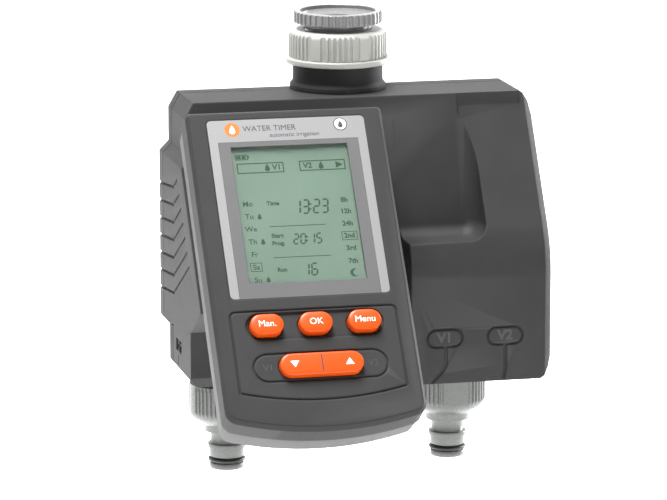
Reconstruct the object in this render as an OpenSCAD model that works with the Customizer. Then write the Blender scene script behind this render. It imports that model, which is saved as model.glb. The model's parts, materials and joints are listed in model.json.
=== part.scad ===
// Two-outlet tap timer: screw inlet on top, two quick-connector outlets below,
// and a tilted control unit that pulls off the housing.
// Heights in the modules are measured from the tips of the outlet noses. The
// module "part" then moves everything so that the origin is the mouth of the
// tap thread, with +Z up out of the thread and -Y towards the display.

/* [Water connections] */
// Height of the tap thread's mouth above the outlet tips
mouth_h = 205; // [200:1:212]
// Radius of the crest of the female G3/4 tap thread
tap_thread_r = 12.06; // [11.8:0.02:12.2]
// Radius of the G1 thread between the adapter and the union nut
union_thread_r = 15.15; // [15:0.05:15.4]
// Radius of the G3/4 male thread stubs under the housing
outlet_thread_r = 13.05; // [12.9:0.05:13.1]
// Distance of each outlet from the inlet's axis
outlet_x = 52; // [50:0.5:54]
// Largest radius of the quick-connector nose
nose_r = 8.65; // [8.5:0.05:8.8]

/* [Housing] */
// Wall thickness of the two housing shells
wall = 2.5; // [2:0.1:3]
// Height of the housing's top face
top_h = 173.7; // [172:0.1:175]
// Height of the housing's underside at the back
base_h = 41.5; // [41:0.1:43]
// Distance of the left wall from the inlet's axis
left_x = 76.5; // [76:0.1:78]
// Distance of the right wall from the inlet's axis
right_x = 83; // [82:0.5:85]
// Width of the side chamfers on the right block
side_chamfer = 3.6; // [2:0.1:4]
// Distance of the right block's front face from the inlet's axis
block_front = 66; // [64:0.5:68]
// Depth of the back shell behind the seam
back_depth = 22; // [22:0.5:24]
// How far the ribbed grip stands out of the left wall
grip_out = 4.2; // [3:0.1:5]
// Number of chevron ribs on the grip
chevrons = 7; // [4:1:7]

/* [Control unit] */
// Lean of the display face from the vertical
tilt = 36; // [35:0.5:37]
// Half the width of the control unit
unit_half_w = 44; // [43:0.5:44.5]
// Full thickness of the control unit
unit_t = 25; // [25:0.5:26]
// Thickness of its front frame, up to the seam
frame_t = 12.5; // [12:0.5:13]
// Wall thickness of its front and rear halves
unit_wall = 2.2; // [2:0.1:2.5]
// How far the keys stand out of the face
key_proud = 3.4; // [2:0.1:4]
// How far a key moves when it is pressed
key_travel = 1.2; // [0.8:0.1:1.3]

/* [Hidden] */
$fn = 48;
eps = 0.01;
far = 400;

// Colours
charcoal = [0.22, 0.22, 0.22];
warm_grey = [0.78, 0.79, 0.76];
cool_grey = [0.64, 0.66, 0.64];
dark_grey = [0.35, 0.35, 0.35];
black = [0.06, 0.06, 0.06];
orange = [1, 0.39, 0.04];
steel = [0.7, 0.7, 0.72];

// Clearances
run = 0.08;      // round parts that turn or slide in each other
free = 0.3;      // other moving parts

// Place of the display face: its local x runs right, y up the face, z out of it.
// y = 0 is the top edge of the silver plate.
face_x = -37.2;
face_y = -57;
face_h = 170.3;
plate_half_w = 35.25;
plate_len = 85.4;
surround_half_w = 31.2;
surround_top = -10.8;
lcd_half_w = 26;
lcd_top = -13.1;
lcd_bottom = -78.4;
unit_top = 4.9;
unit_bottom = -147.5;
unit_bottom_r = 150;
key_pitch = 21.5;
key_y = -98.7;
rocker_y = -118;
key_size = [14.6, 9.5];
rocker_size = [36.7, 10.2];
rocker_pivot_z = -4;
board_z = -9;

// The dock plane lies just behind the control unit's back.
dock_gap = 0.5;
function dock_y(h) =
    face_y + (unit_t + dock_gap) / cos(tilt) - (face_h - h) * tan(tilt);

// Housing profiles, as [y, height]; they run past the seam so that insets stay open.
top_front = -28.5;
over = 12;
base_front = -40;
grip_low = [-60, 77];
grip_front_h = 90.5;
break_h = 108;
block_bottom_h = 49.4;
// The slope starts under an upright strip along the top, and bends softly into the front face.
bend_end = [-block_front, break_h - 12];
bend_start = [6, 10] + [-block_front, break_h];
bend = [for (i = [0:6]) let(t = i / 6)
    (1 - t) * (1 - t) * bend_start + 2 * t * (1 - t) * [-block_front, break_h] + t * t * bend_end];
block_profile = concat(
    [[over, top_h], [top_front + 3.4, top_h]], bend,
    [[-block_front, block_bottom_h], [base_front, base_h + 2], [over, base_h]]
);
strip_profile = [[over, top_h], [top_front, top_h], [top_front, top_h - 14], [over, top_h - 14]];
// Rounding of the block's right side, as steps of [x, inset, lowest height, highest height]
side_steps = [
    [right_x - side_chamfer, 0, block_bottom_h + 1.2, top_h - 1.4],
    [right_x - 1.4, side_chamfer / 2, block_bottom_h + 5, top_h - 5],
    [right_x, side_chamfer, 59, top_h - 11]
];
dock_profile = [
    [over, top_h], [top_front, top_h], [top_front, top_h - 7.6],
    [dock_y(grip_front_h), grip_front_h], grip_low, [-20, 72.6], [over, 66]
];
base_profile = [
    [over, top_h], [top_front, top_h], [-46, 112], [-42, 104],
    [base_front, 70], [base_front, base_h + 10], [base_front + 4, base_h + 5], [-6, base_h], [over, base_h]
];
// Housing outline from the front, as [x, height]
outline = [
    [-left_x + 4, top_h], [-left_x, top_h - 7], [-left_x, base_h + 9], [-left_x + 7.5, base_h],
    [right_x - 4, base_h], [right_x, base_h + 9], [right_x, top_h - 11], [right_x - 1.4, top_h - 5],
    [right_x - side_chamfer, top_h - 1.4], [right_x - 5.5, top_h]
];
grip_outline = [
    [-left_x + 8, top_h - 15], [-left_x, top_h - 22.5], [-left_x - grip_out, top_h - 26.7],
    [-left_x - grip_out, 71.4], [-left_x, 67], [-left_x + 8, 60]
];
dock_right = 4;
block_left = 18;

// Pocket beside the control unit
pocket_right = 54;
pocket_low = 112.5;
pocket_r = 8;
chevron_pitch = 8;
chevron_top = 135;

// Marks over the two sensor sockets
mark_x = [33.3, 61];
mark_h = 70;
mark_deep = 0.7;
// Lines from the marks down to the sockets, as [x, height]
mark_lines = [
    [[33.8, 67], [33.9, 59], [33.2, 56.5], [31.6, 54.3], [24.5, 47.5]],
    [[61.1, 67], [61.3, 57], [60.9, 53], [59.5, 47.5]]
];
socket_x = [25, 60];
socket_y = -50;
socket_h = 47;
socket_r = 4.5;
jack_r = 3;

// Pipe work
pipe_r = 12.5;
pipe_top = 190.6;
collar_top = 185.1;
nut_low = 185.4;
nut_high = 200.6;
nut_r = 22.15;
adapter_low = 192.9;
washer_seat_r = 12.9;
washer_seat_h = 2.1;
ring_low = 203.4;
ring_high = 208.9;
ring_r = 20;
ring_ribs = 40;
stub_end = 29;
skirt_top = 40.3;
oring_seat_r = 6.7;

// Valves
plunger_r = 3.6;
plunger_len = 20;
bonnet_len = 30;
spring_len = 15.8;
spring_seat = 10;
valve_h = 92;
valve_r = 17;
chamber_front = -14;
chamber_back = 12;
screw_spots = [[-71, 60], [-71, 154], [77, 60], [77, 156], [30, 167.5], [0, 47]];
seam_gap = 0.6;
screw_r = 1.6;
screw_seat = 5;
boss_len = 22;

// Dock plug, battery bay and its cover, in the face's own coordinates
socket_face_y = -50;
socket_w = 26;
socket_tall = 12;
plug_w = 24;
plug_tall = 10;
pin_x = [-7.5, -2.5, 2.5, 7.5];
board_half_w = 40;
board_len = 138;
stem_end = board_z + 0.4 + key_travel;
bay = [50, 33.6];
bay_y = -117;
bay_deep = 12.9;
cell_r = 5.25;
cell_len = 43.3;
cell_pitch = 11;
cover_w = 54;
cover_l = 39;
cover_t = 1.8;
hinge_y = bay_y - cover_l / 2 - 0.2;
hinge_z = -unit_t + 1.9;

// Helpers
module part(c) color(c) translate([0, 0, -mouth_h]) children();

module tube(ro, ri, h) difference() {
    cylinder(r = ro, h = h);
    translate([0, 0, -eps]) cylinder(r = ri, h = h + 2 * eps);
}

// Extrude a [y, height] profile along X, inset by g
module along_x(pts, x0, x1, g = 0)
    translate([x0 + g, 0, 0]) rotate([90, 0, 90])
        linear_extrude(x1 - x0 - 2 * g) offset(delta = -g) polygon(pts);

// Extrude a [x, height] outline along Y, from y0 to y1, inset by g
module along_y(pts, y0, y1, g = 0)
    translate([0, y1, 0]) rotate([90, 0, 0])
        linear_extrude(y1 - y0) offset(delta = -g) polygon(pts);

// Turn a piece that is built along Z so that it points forwards, along -Y
module forwards() rotate([90, 0, 0]) children();

module face() translate([face_x, face_y, face_h]) rotate([90 - tilt, 0, 0]) children();

// 2D shapes
module pill(w, h) {
    square([w - h, h], center = true);
    for (s = [-1, 1]) translate([s * (w - h) / 2, 0]) circle(d = h);
}

module rounded(w, h, r) {
    square([w - 2 * r, h], center = true);
    square([w, h - 2 * r], center = true);
    for (x = [r - w / 2, w / 2 - r], y = [r - h / 2, h / 2 - r]) translate([x, y]) circle(r = r);
}

// Outline of the control unit, inset by g
module unit_outline(g = 0) offset(delta = -g) {
    intersection() {
        unit_blank(2.5);
        translate([-60, -60]) square([120, 80]);
    }
    intersection() {
        unit_blank(6);
        translate([-60, -200]) square([120, 141]);
    }
}

module unit_blank(r) offset(r = r) offset(delta = -r) intersection() {
    translate([-unit_half_w, unit_bottom - 1]) square([2 * unit_half_w, unit_top - unit_bottom + 1]);
    translate([0, unit_bottom + unit_bottom_r]) circle(r = unit_bottom_r, $fn = 180);
}

// A block of the control unit between two levels of z
module unit_slab(z0, z1, g = 0) translate([0, 0, z0]) linear_extrude(z1 - z0) unit_outline(g);

// Housing: outer form at g = 0, and its hollow at g = wall
module pocket(g = 0) hull()
    for (right = [0, 1], front = [0, 1], upper = [0, 1])
        translate([right == 0 ? -20 : pocket_right - pocket_r,
                   front == 1 ? -100 : (upper == 1 ? -32.1 : -51),
                   upper == 1 ? top_h + 20 : pocket_low + pocket_r])
            sphere(r = pocket_r + g, $fn = 24);

module block(g = 0) {
    hull() {
        along_x(block_profile, block_left, right_x - 5.5, g);
        for (s = side_steps) translate([s[0] - g - 0.2, 0, 0]) rotate([90, 0, 90]) linear_extrude(0.2)
            intersection() {
                offset(delta = -g - s[1]) polygon(block_profile);
                translate([-far / 2, s[2] + g]) square([far, s[3] - s[2] - 2 * g]);
            }
    }
    along_x(strip_profile, block_left, right_x - 6, g);
}

module housing_form(g = 0) {
    difference() {
        union() {
            block(g);
            along_x(base_profile, -30, 48, g);
        }
        pocket(g);
    }
    intersection() {
        union() {
            along_x(dock_profile, -left_x, dock_right, g);
            along_x(base_profile, -left_x, dock_right, g);
        }
        along_y(outline, -far / 2, over, g);
    }
    intersection() {
        along_x(dock_profile, -left_x - grip_out, -20, g);
        along_y(grip_outline, -far / 2, over, g);
    }
}

module back_form(g = 0) {
    inset = back_depth - 10;
    hull() {
        along_y(outline, -1, 8 - g / 2, g);
        along_y(outline, back_depth - 1 - g, back_depth - g, inset + g / 2);
    }
    hull() {
        along_y(grip_outline, -1, 8 - g / 2, g);
        along_y(grip_outline, 14, 15, g + 3.5);
    }
}

module half(front) intersection() {
    children();
    translate([-far / 2, front ? -far - seam_gap / 2 : seam_gap / 2, 0]) cube([far, far, far]);
}

module at_screws() for (p = screw_spots) translate([p[0], 0, p[1]]) children();

// Round openings for the inlet pipe and the outlet stubs
module pipe_holes() {
    translate([0, 0, top_h - 12]) cylinder(r = pipe_r + free, h = 30);
    for (s = [-1, 1]) translate([s * outlet_x, 0, base_h - 12])
        cylinder(r = outlet_thread_r + free, h = 20);
}

module seal_ring(w0, w1, y0, y1) difference() {
    along_y(outline, y0, y1, w0);
    along_y(outline, y0 - 1, y1 + 1, w1);
}

// Chevron ribs: each has a level leg from the seam and a rising leg towards the front
module chevron_grooves() for (i = [0:chevrons - 1])
    translate([-left_x - grip_out - 2, -24, chevron_top - i * chevron_pitch]) {
        rotate([-6, 0, 0]) cube([3, 42, 1.3]);
        rotate([-28, 0, 0]) translate([0, -10 - 5 * i, 0]) cube([3, 10.6 + 5 * i, 1.3]);
    }

// 2D line of width w through a list of points
module stroke(pts, w) for (i = [0:len(pts) - 2]) {
    step = pts[i + 1] - pts[i];
    translate(pts[i]) rotate(atan2(step[1], step[0])) translate([0, -w / 2]) square([norm(step), w]);
    translate(pts[i]) circle(d = w);
}

// Cable marks on the block's front: a pill outline and a line down to its socket
module valve_marks() translate([0, -block_front + mark_deep, 0]) forwards() linear_extrude(5) difference() {
    for (i = [0, 1]) {
        translate([mark_x[i], mark_h]) pill(17.2, 9);
        stroke(mark_lines[i], 1.6);
    }
    for (x = mark_x) translate([x, mark_h]) pill(14.8, 6.6);
}

// Blind slots low on the left wall, joined across the middle, with a fine line below
module side_slots() translate([-left_x - 1, -19, 0]) {
    for (y = [0, 7]) translate([0, y, 58]) cube([2.2, 5, 5.5]);
    translate([0, 4, 60]) cube([2.2, 4, 1.5]);
    translate([0, 6.6, 51.5]) cube([1.6, 0.8, 5]);
}

module housing_front_shell() part(charcoal) difference() {
    half(true) union() {
        difference() {
            housing_form();
            housing_form(wall);
        }
        intersection() {
            housing_form(wall / 2);
            union() {
                at_screws() forwards() cylinder(r = 4, h = boss_len);
                for (x = socket_x) translate([x, socket_y, base_h]) cylinder(r = 6, h = 18);
                dock_frame();
            }
        }
    }
    at_screws() forwards() translate([0, 0, -eps]) cylinder(r = 1.25, h = boss_len - 2);
    pipe_holes();
    seal_ring(0.7, 1.9, -0.8, 1);
    chevron_grooves();
    side_slots();
    valve_marks();
    for (x = socket_x) translate([x, socket_y, base_h - 10]) cylinder(r = socket_r, h = 40);
    face() translate([-socket_w / 2, socket_face_y - socket_tall / 2, -unit_t - 30])
        cube([socket_w, socket_tall, 40]);
}

// Thickened rim behind the dock's plug opening
module dock_frame() face()
    translate([-socket_w / 2 - 2, socket_face_y - socket_tall / 2 - 2, -unit_t - dock_gap - 8])
        cube([socket_w + 4, socket_tall + 4, 8]);

module housing_back_shell() part(charcoal) difference() {
    half(false) union() {
        difference() {
            back_form();
            difference() {
                back_form(wall);
                at_screws() translate([0, 40, 0]) forwards() cylinder(r = 5, h = 60);
            }
        }
    }
    at_screws() translate([0, 40, 0]) forwards() cylinder(r = screw_r + 0.1, h = 60);
    at_screws() translate([0, 40, 0]) forwards() cylinder(r = 3.5, h = 40 - screw_seat);
    pipe_holes();
    seal_ring(0.7, 1.9, -1, 0.8);
    chevron_grooves();
}

module housing_seal() part(black) difference() {
    seal_ring(0.75, 1.85, -0.75, 0.75);
    pipe_holes();
}

module screw(r, head_r, head_h, length) {
    difference() {
        cylinder(r = head_r, h = head_h);
        translate([0, 0, -eps]) for (a = [0, 90]) rotate(a)
            translate([-head_r * 0.6, -0.4, 0]) cube([head_r * 1.2, 0.8, head_h * 0.6]);
    }
    translate([0, 0, head_h - eps]) cylinder(r = r, h = length);
}

module housing_screws() part(steel) at_screws()
    translate([0, screw_seat + 2.4, 0]) forwards() screw(1.2, 3.1, 2.4, screw_seat + boss_len - 6);

// Sleeve round the inlet pipe, fitted to the housing's shoulders
module neck_collar() part(charcoal) difference() {
    union() {
        translate([0, 0, 158]) cylinder(r = 20.35, h = collar_top - 158);
        translate([0, 0, 158]) cylinder(r = 21.6, h = top_h + 2.2 - 158);
        translate([0, 0, top_h + 2.2 - eps]) cylinder(r1 = 21.6, r2 = 20.35, h = 1.5);
    }
    half(true) along_x([[60, 100], [60, top_h], [-60, top_h], [-60, 100]], -50, 50);
    back_form();
    translate([0, 0, 100]) cylinder(r = pipe_r + free, h = 100);
    translate([0, 0, collar_top - 8]) tube(18, 15.5, 6);
}

// Pipe work: inlet pipe, cross header, one valve chamber over each outlet stub
module water_manifold() part(cool_grey) difference() {
    union() {
        translate([0, 0, valve_h - 9]) cylinder(r = pipe_r, h = pipe_top - valve_h + 9);
        translate([0, 0, nut_low + 2.3]) cylinder(r = 14.8, h = pipe_top - nut_low - 2.3);
        translate([-outlet_x, 0, valve_h]) rotate([0, 90, 0]) cylinder(r = 9, h = 2 * outlet_x);
        for (s = [-1, 1]) translate([s * outlet_x, 0, 0]) {
            translate([0, chamber_back, valve_h]) forwards()
                cylinder(r = valve_r, h = chamber_back - chamber_front);
            translate([0, 0, stub_end]) cylinder(r = outlet_thread_r, h = base_h - stub_end + 6);
            translate([0, 0, base_h + 5]) cylinder(r = 11, h = valve_h - base_h - 5);
        }
    }
    translate([0, 0, valve_h]) cylinder(r = 8.5, h = 200);
    translate([0, 0, pipe_top - 2]) cylinder(r = 10, h = 10);
    translate([-outlet_x, 0, valve_h]) rotate([0, 90, 0]) cylinder(r = 6, h = 2 * outlet_x);
    for (s = [-1, 1]) translate([s * outlet_x, 0, 0]) {
        translate([0, chamber_back - 2.5, valve_h]) forwards() difference() {
            cylinder(r = valve_r - 3, h = 40);
            cylinder(r = 8, h = chamber_back - chamber_front - 4);
            translate([0, -40, chamber_back - 2.5]) rotate([-90, 0, 0]) cylinder(r = 8, h = 40);
        }
        translate([0, 7, valve_h]) forwards() cylinder(r = 5.5, h = 40);
        translate([0, 0, stub_end - 1]) cylinder(r = 5.5, h = valve_h - stub_end);
        translate([0, 0, stub_end - 1]) cylinder(r = 8.5, h = 30);
        bonnet_holes() cylinder(r = 1, h = 9);
    }
}

module bonnet_holes() for (a = [45:90:315]) translate([0, chamber_front + 8, valve_h]) forwards()
    rotate(a) translate([valve_r - 1.6, 0, 0]) children();

module valve(s) translate([s * outlet_x, chamber_front, valve_h]) forwards() children();

// Rubber diaphragm that lies over the seat
module valve_seat_diaphragm(s) part(black) valve(s) {
    difference() {
        translate([0, 0, 0.05]) cylinder(r = valve_r - 0.1, h = 1.1);
        translate([0, 0, -1]) cylinder(r = 1, h = 4);
        for (a = [45:90:315]) rotate(a) translate([valve_r - 1.6, 0, -1]) cylinder(r = 1.3, h = 4);
    }
    translate([0, 0, -1.2]) tube(7, 4, 1.3);
}

module valve_bonnet(s) part(dark_grey) valve(s) translate([0, 0, 1.2]) difference() {
    union() {
        cylinder(r = valve_r, h = 3);
        cylinder(r = 9, h = 7);
        cylinder(r = 5.4, h = bonnet_len);
    }
    translate([0, 0, -1]) cylinder(r = plunger_r + run, h = bonnet_len);
    for (a = [45:90:315]) rotate(a) translate([valve_r - 1.6, 0, -1]) cylinder(r = 1.3, h = 6);
}

module bonnet_screws(s) part(steel) valve(s)
    for (a = [45:90:315]) rotate(a) translate([valve_r - 1.6, 0, 6.2]) mirror([0, 0, 1])
        screw(0.95, 1.9, 1.9, 9);

module valve_coil(s) part(orange) valve(s) translate([0, 0, 8.4]) {
    tube(7.2, 5.5, 22);
    for (z = [0, 20.5]) translate([0, 0, z]) tube(10.5, 7.2, 1.5);
    translate([0, 0, 1.6]) tube(10, 7.25, 18.8);
}

// Sealing plunger of the valve; it lifts off the diaphragm's pilot hole
module plunger(s) part(steel) valve(s) translate([0, 0, 1.3]) difference() {
    union() {
        translate([0, 0, 1]) cylinder(r = plunger_r, h = plunger_len - 1);
        cylinder(r = 1.6, h = 1.1);
    }
    translate([0, 0, spring_seat]) cylinder(r = 2.6, h = plunger_len);
}

// Spring that closes the plunger, drawn at its compressed length
module plunger_spring(s) part(steel) valve(s)
    translate([0, 0, 1.2 + bonnet_len - 1.1 - spring_len]) tube(2.2, 1.6, spring_len);

// Socket for a soil sensor's plug, on the block's underside
module sensor_socket(s) part(black) translate([socket_x[s], socket_y, socket_h]) difference() {
    cylinder(r = socket_r - 0.05, h = 14);
    translate([0, 0, -1]) cylinder(r = jack_r, h = 13);
}

module dock_socket() part(black) face()
    translate([0, socket_face_y, -unit_t - dock_gap - 9]) difference() {
        linear_extrude(8.4) rounded(socket_w - 0.1, socket_tall - 0.1, 1);
        translate([0, 0, 2]) linear_extrude(8) rounded(socket_w - 4, socket_tall - 4, 1);
        for (x = pin_x) translate([x, 0, -1]) cylinder(r = 0.85, h = 5);
    }

module dock_contacts() part(steel) face() for (x = pin_x)
    translate([x, socket_face_y, -unit_t - dock_gap - 12]) cylinder(r = 0.8, h = 6.5);

// Conical dirt strainer that hangs in the inlet pipe
module inlet_filter() part(steel) translate([0, 0, pipe_top - 1.6]) {
    tube(9.9, 7.2, 1.5);
    rotate_extrude() polygon([[7.2, 0.1], [8, 0.1], [5.4, -16], [0, -16], [0, -15.2], [4.8, -15.2]]);
}

module inlet_washer() part(black) translate([0, 0, pipe_top]) tube(14.6, 9, 2);

// Free-turning nut that pulls the adapter down on the pipe
module union_nut() part(warm_grey) difference() {
    union() {
        translate([0, 0, nut_low]) cylinder(r = 23.5, h = 2.6);
        translate([0, 0, nut_low]) cylinder(r = nut_r - 0.9, h = nut_high - nut_low - 1.2);
        translate([0, 0, nut_high - 1.2]) cylinder(r1 = nut_r - 0.9, r2 = nut_r - 2.4, h = 1.2);
        for (k = [0:5], j = [0:5]) rotate(k * 60 + j * 6.4 + 4)
            translate([nut_r - 1.2, -0.75, nut_low + 2]) cube([1.2, 1.5, nut_high - nut_low - 3.4]);
        for (k = [0:5]) rotate(k * 60 + 43) translate([0, 0, nut_low + 2]) rotate_extrude(angle = 14)
            translate([nut_r - 1.4, 0]) square([1.4, nut_high - nut_low - 3.4]);
    }
    translate([0, 0, nut_low - 1]) cylinder(r = pipe_r + run, h = 30);
    translate([0, 0, nut_low + 2.1]) cylinder(r = union_thread_r, h = 30);
}

// Reducer: G1 male thread below, G3/4 female thread for the tap
module thread_adapter() part(dark_grey) difference() {
    union() {
        translate([0, 0, adapter_low]) cylinder(r = union_thread_r - run, h = ring_low - adapter_low);
        translate([0, 0, ring_low]) cylinder(r = ring_r - 0.8, h = ring_high - ring_low);
        for (a = [0:360 / ring_ribs:359]) rotate(a)
            translate([ring_r - 1.4, -0.8, ring_low + 0.3]) cube([1.4, 1.6, ring_high - ring_low - 0.6]);
    }
    translate([0, 0, adapter_low - 1]) cylinder(r = 9, h = 40);
    translate([0, 0, adapter_low + 2]) cylinder(r = washer_seat_r, h = washer_seat_h);
    translate([0, 0, adapter_low + 2]) cylinder(r = tap_thread_r, h = 40);
    translate([0, 0, mouth_h]) cylinder(r1 = tap_thread_r, r2 = 16.6, h = 2.2);
    translate([0, 0, mouth_h + 2.2 - eps]) cylinder(r = 17, h = 10);
}

// It is wider than the thread, so it stays in its groove
module adapter_washer() part(black) translate([0, 0, adapter_low + 2])
    tube(washer_seat_r - 0.2, 8.5, washer_seat_h - 0.1);

// Outlet: threaded skirt above, nose for a push-on hose connector below
module outlet_connector(s) part(cool_grey) translate([s * outlet_x, 0, 0]) difference() {
    union() {
        cylinder(r1 = 7, r2 = 7.85, h = 0.8);
        translate([0, 0, 0.8 - eps]) cylinder(r = 7.85, h = 1.9);
        cylinder(r = oring_seat_r, h = 7);
        translate([0, 0, 5.7]) cylinder(r = 8, h = 4.1);
        translate([0, 0, 9.7]) cylinder(r = nose_r, h = 2.2);
        translate([0, 0, 11.9 - eps]) cylinder(r = 7.3, h = 6.5);
        translate([0, 0, 17.5]) cylinder(r = 10.15, h = 3.6);
        translate([0, 0, 21]) cylinder(r1 = 11.5, r2 = 15.5, h = 3);
        translate([0, 0, 24]) cylinder(r1 = 15.5, r2 = 17, h = 2);
        translate([0, 0, 26]) cylinder(r = 16.9, h = skirt_top - 26);
        for (k = [0:3], j = [0:6]) rotate(k * 90 + j * 7.2 + 23.4)
            translate([16.4, -0.7, 27]) cube([1.2, 1.4, skirt_top - 28.2]);
    }
    translate([0, 0, -1]) cylinder(r = 5, h = 40);
    translate([0, 0, stub_end - 2.2]) cylinder(r = outlet_thread_r + run, h = 30);
}

module nose_oring(s) part(black) translate([s * outlet_x, 0, 4.2])
    rotate_extrude() translate([oring_seat_r + 0.9, 0]) circle(d = 1.8);

module outlet_washer(s) part(black) translate([s * outlet_x, 0, stub_end - 2.15]) tube(12.8, 8, 1.8);

// Control unit
module key_holes(g) {
    for (i = [-1:1]) translate([i * key_pitch, key_y]) pill(key_size[0] + 2 * g, key_size[1] + 2 * g);
    translate([0, rocker_y]) pill(rocker_size[0] + 2 * g, rocker_size[1] + 2 * g);
}

module control_front_frame() part(charcoal) face() difference() {
    union() {
        difference() {
            hull() {
                unit_slab(-frame_t, -2.2);
                unit_slab(-0.4, 0, 1.6);
            }
            unit_slab(-frame_t - 1, -unit_wall - 0.4, unit_wall);
        }
        // Bearing lugs for the rocker's pivot
        for (s = [-1, 1]) translate([-2.5, rocker_y + s * 7.8 - 1.3, -6.5]) cube([5, 2.6, 5]);
        unit_screws() translate([0, 0, -frame_t]) cylinder(r = 3.4, h = frame_t - 2);
    }
    unit_screws() translate([0, 0, -frame_t - 1]) cylinder(r = 1.25, h = frame_t - 2);
    translate([0, 0, -unit_wall - 2]) linear_extrude(9) key_holes(free);
    // Recess round the three keys, and outlines of the key fields
    translate([0, key_y, -1]) linear_extrude(2) pill(60.7, 12.6);
    translate([0, rocker_y, -0.5]) linear_extrude(2) difference() {
        pill(59.6, 13.6);
        pill(57.8, 11.8);
    }
    translate([0, 0, -0.5]) linear_extrude(2) difference() {
        panel(0);
        panel(0.9);
    }
    // Seat of the silver plate, and the display's opening
    translate([0, -plate_len / 2, -0.9]) linear_extrude(2)
        rounded(2 * plate_half_w + 0.2, plate_len + 0.2, 2);
    translate([-lcd_half_w - 2, lcd_bottom - 2, -9]) cube([2 * lcd_half_w + 4, lcd_top - lcd_bottom + 4, 20]);
    translate([0, rocker_y + 9.2, rocker_pivot_z]) rotate([90, 0, 0]) cylinder(r = 1 + run, h = 18.4);
    translate([0, 0, -frame_t]) seal_groove(1.1);
}

// Field of the keys, with an arc along its foot
module panel(g) offset(delta = -g) intersection() {
    translate([0, -113]) rounded(74, 44, 3);
    translate([0, -134 + unit_bottom_r]) circle(r = unit_bottom_r, $fn = 180);
}

module unit_screws() for (x = [-1, 1], y = [-8, -124])
    translate([x * (unit_half_w - 5.2), y, 0]) children();

module seal_groove(h) translate([0, 0, -0.05]) linear_extrude(h) difference() {
    unit_outline(0.6);
    unit_outline(1.6);
}

module control_seal() part(black) face() translate([0, 0, -frame_t + 0.05]) linear_extrude(0.9) difference() {
    unit_outline(0.65);
    unit_outline(1.55);
}

module control_rear_case() part(dark_grey) face() difference() {
    union() {
        difference() {
            hull() {
                unit_slab(-frame_t - 4, -frame_t, 0.8);
                unit_slab(-unit_t, -unit_t + 0.4, 1.4);
            }
            unit_slab(-unit_t + unit_wall, -frame_t + 1, unit_wall + 3);
            difference() {
                unit_slab(-unit_t + unit_wall + 3, -frame_t + 1, unit_wall + 0.8);
                unit_slab(-unit_t, -frame_t + 1, unit_wall + 3);
            }
        }
        unit_screws() translate([0, 0, -unit_t + 0.2]) cylinder(r = 3.4, h = unit_t - frame_t - 0.3);
        // Walls of the battery bay
        translate([-bay[0] / 2 - 1.6, bay_y - bay[1] / 2 - 1.6, -unit_t])
            cube([bay[0] + 3.2, bay[1] + 3.2, bay_deep + 1.1]);
    }
    unit_screws() translate([0, 0, -unit_t - 1]) cylinder(r = 1.45, h = unit_t);
    unit_screws() translate([0, 0, -unit_t - 1]) cylinder(r = 2.8, h = 4);
    translate([-bay[0] / 2, bay_y - bay[1] / 2, -unit_t - 1]) cube([bay[0], bay[1], bay_deep + 1]);
    // Seat of the battery cover and its hinge
    translate([-cover_w / 2 - free, bay_y - cover_l / 2 - free, -unit_t - 1])
        cube([cover_w + 2 * free, cover_l + 2 * free, 1 + cover_t + 0.2]);
    translate([-cover_w / 2 - 3, hinge_y, hinge_z]) rotate([0, 90, 0]) cylinder(r = 1 + run, h = cover_w + 6);
    translate([-cover_w / 2 - free, hinge_y - 2.4, hinge_z - 6]) cube([cover_w + 2 * free, 5, 8.3]);
    // Opening for the dock plug
    translate([0, socket_face_y, -unit_t - 1]) linear_extrude(8) rounded(plug_w + 0.2, plug_tall + 0.2, 1);
}

module control_screws() part(steel) face() unit_screws()
    translate([0, 0, -unit_t + 0.9]) screw(1.2, 2.6, 2, unit_t - 7);

// Silver plate, open round the display's surround
module display_plate() part([0.88, 0.88, 0.88]) face() translate([0, 0, -0.85]) linear_extrude(0.95)
    difference() {
        translate([0, -plate_len / 2]) rounded(2 * plate_half_w, plate_len, 2);
        translate([-surround_half_w - 0.05, -plate_len - 1])
            square([2 * surround_half_w + 0.1, plate_len + 1 + surround_top + 0.05]);
    }

module display_surround() part([0.53, 0.53, 0.53]) face() translate([0, 0, -0.85]) linear_extrude(0.9)
    difference() {
        translate([-surround_half_w, -plate_len]) square([2 * surround_half_w, plate_len + surround_top]);
        translate([-lcd_half_w, lcd_bottom]) square([2 * lcd_half_w, lcd_top - lcd_bottom]);
    }

// Sheet under the surround's opening, 1.7 mm larger all round
module display_sheet(z, thickness) translate([-lcd_half_w - 1.7, lcd_bottom - 1.7, z])
    cube([2 * lcd_half_w + 3.4, lcd_top - lcd_bottom + 3.4, thickness]);

module display_window() part([0.8, 0.85, 0.82, 0.4]) face() display_sheet(-2, 1.1);

module display_module() part([0.56, 0.67, 0.59]) face() {
    display_sheet(-4.6, 2.4);
    translate([-lcd_half_w, lcd_bottom, -8.9]) cube([2 * lcd_half_w, lcd_top - lcd_bottom, 4.25]);
}

module circuit_board() part([0.1, 0.4, 0.2]) face() difference() {
    translate([-board_half_w, -board_len, board_z - 1.5]) cube([2 * board_half_w, board_len, 1.5]);
    unit_screws() translate([0, 0, -20]) cylinder(r = 3.8, h = 20);
}

// Rubber mat with a sleeve round each key's stem
module keypad_mat() part([0.85, 0.85, 0.8]) face() {
    difference() {
        translate([-32, rocker_y - 9, board_z + 0.05]) cube([64, 36, 0.7]);
        stems() translate([0, 0, -20]) cylinder(r = 3.6, h = 20);
    }
    stems() translate([0, 0, board_z + 0.05]) tube(4.6, 3.5, 2.2);
}

module stems() {
    for (i = [-1:1]) translate([i * key_pitch, key_y, 0]) children();
    for (s = [-1, 1]) translate([s * 12, rocker_y, 0]) children();
}

module contact_pads() part([0.8, 0.65, 0.2]) face() stems()
    translate([0, 0, board_z + 0.02]) cylinder(r = 2.6, h = 0.15);

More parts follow.
